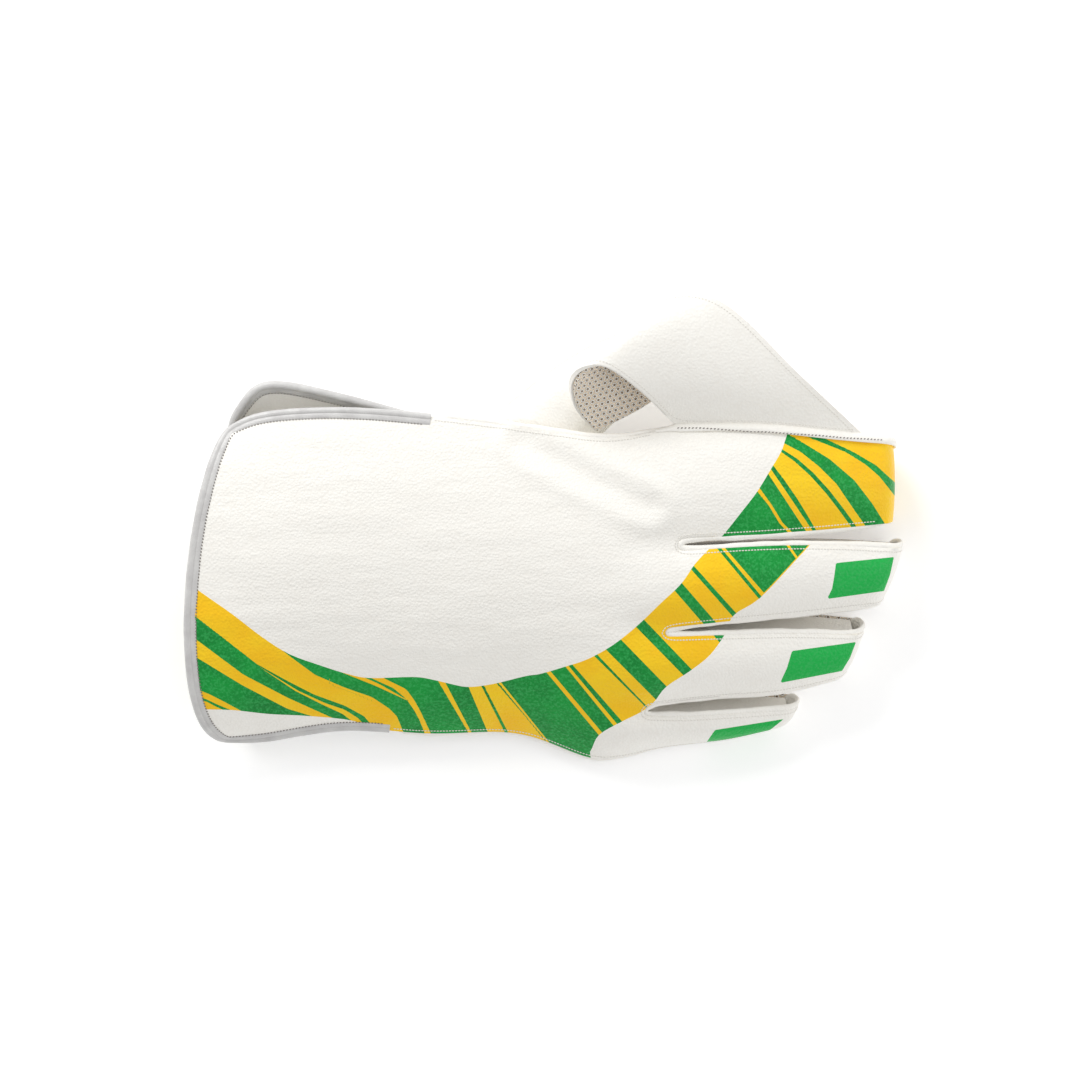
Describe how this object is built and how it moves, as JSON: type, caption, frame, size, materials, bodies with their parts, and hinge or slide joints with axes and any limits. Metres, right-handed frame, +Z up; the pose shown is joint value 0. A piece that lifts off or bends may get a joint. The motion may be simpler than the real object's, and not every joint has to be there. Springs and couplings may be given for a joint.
{
  "type": "wicketkeeping glove",
  "caption": "Right-hand wicketkeeping glove lying palm down: leather back with four finger stalls, thumb, arched web, flared bound cuff and a rubber-faced palm",
  "frame": {"origin": "under the middle of the glove's box, at the height of the surface that it lies on", "axes": "+X towards the fingertips, +Y towards the thumb side, +Z up from the back of the hand"},
  "size_m": [0.3384, 0.219, 0.0677],
  "materials": {
    "back_leather": "pebbled white leather, printed with green and yellow stripes",
    "white_leather": "smooth white leather",
    "dimpled_rubber": "matt beige rubber with a fine dimple pattern",
    "grey_vinyl": "satin light grey vinyl tape"
  },
  "bodies": {
    "root": {"back_panel": "back_leather", "palm_facing": "dimpled_rubber", "thumb_side_wall": "white_leather", "fourchette_index_middle": "white_leather", "fourchette_middle_ring": "white_leather", "fourchette_ring_little": "white_leather", "thumb_stall": "white_leather", "web": "white_leather", "web_facing": "dimpled_rubber", "palm_cuff": "white_leather", "back_cuff_binding": "grey_vinyl", "palm_cuff_binding": "grey_vinyl"}
  },
  "joints": []
}
